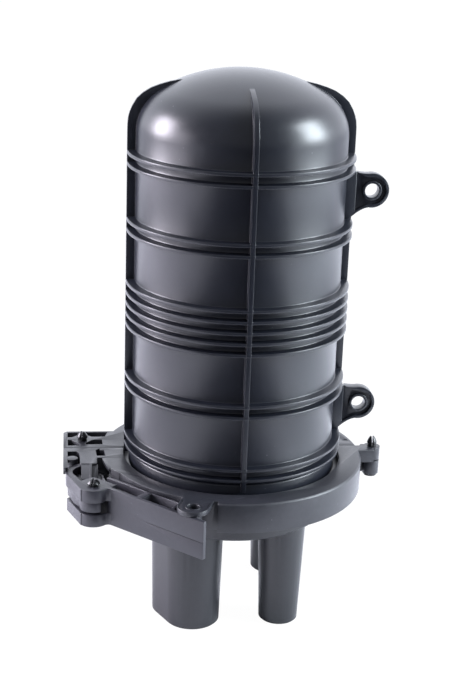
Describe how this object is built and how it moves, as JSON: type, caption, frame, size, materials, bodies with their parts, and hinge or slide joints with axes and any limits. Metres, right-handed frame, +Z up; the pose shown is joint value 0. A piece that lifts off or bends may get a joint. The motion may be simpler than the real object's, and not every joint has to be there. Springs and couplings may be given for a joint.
{
  "type": "dome splice closure",
  "caption": "Ribbed dome enclosure on a drum base with closed cable ports, held by a hinged V-clamp with an over-centre latch; splice trays inside.",
  "frame": {"origin": "on the dome axis, at the flat underside of the drum between the ports", "axes": "+Z up along the dome axis; +X towards the clamp hinge and the ears; -Y towards the front fin"},
  "size_m": [0.269, 0.2412, 0.4484],
  "materials": {
    "dome_plastic": "satin",
    "base_plastic": "satin",
    "clamp_plastic": "fine texture",
    "lever_plastic": "fine texture",
    "pin_plastic": "gloss",
    "seal_rubber": "matte",
    "tray_plastic": "satin",
    "holder_plastic": "satin",
    "cover_plastic": "clear gloss",
    "strap_fabric": "woven",
    "bracket_steel": "brushed",
    "screw_steel": "bright",
    "basket_plastic": "satin",
    "stud_brass": "bright"
  },
  "bodies": {
    "closure": {"dome": "dome_plastic", "base": "base_plastic", "sealing_ring": "seal_rubber", "clamp_front_half": "clamp_plastic", "lever_pivot_pin": "pin_plastic", "clamp_hinge_pin": "pin_plastic", "splice_tray_1": "tray_plastic", "splice_tray_2": "tray_plastic", "splice_tray_3": "tray_plastic", "splice_tray_4": "tray_plastic", "splice_holders": "holder_plastic", "tray_cover": "cover_plastic", "tray_strap": "strap_fabric", "tray_hinge_bar": "tray_plastic", "tray_bracket": "bracket_steel", "bracket_screws": "screw_steel", "storage_basket": "basket_plastic", "cable_clamp_left": "bracket_steel", "cable_clamp_right": "bracket_steel", "clamp_bolts": "screw_steel", "earth_stud": "stud_brass", "earth_nut": "stud_brass", "earth_washer": "stud_brass"},
    "back_half": {"clamp_back_half": "clamp_plastic", "link_rear_pin": "pin_plastic"},
    "lever": {"latch_lever": "lever_plastic", "link_front_pin": "pin_plastic"},
    "link": {"latch_link": "lever_plastic"}
  },
  "joints": [
    {"name": "latch_lever", "type": "hinge", "parent": "closure", "child": "lever", "pos_m": [-0.12, -0.033, 0.025], "axis": [0, 0, -1], "range_deg": [0, 100]},
    {"name": "latch_link", "type": "hinge", "parent": "lever", "child": "link", "pos_m": [-0.116, -0.0605, 0.025], "axis": [0, 0, -1], "range_deg": [-77, 0]},
    {"name": "clamp_hinge", "type": "hinge", "parent": "closure", "child": "back_half", "pos_m": [0.122, 0.008, 0.033], "axis": [0, 0, -1], "range_deg": [0, 5.9]}
  ],
  "couplings": [
    {"joint": "latch_link", "follows": "latch_lever", "ratio": -0.77},
    {"joint": "clamp_hinge", "follows": "latch_lever", "ratio": 0.059}
  ]
}
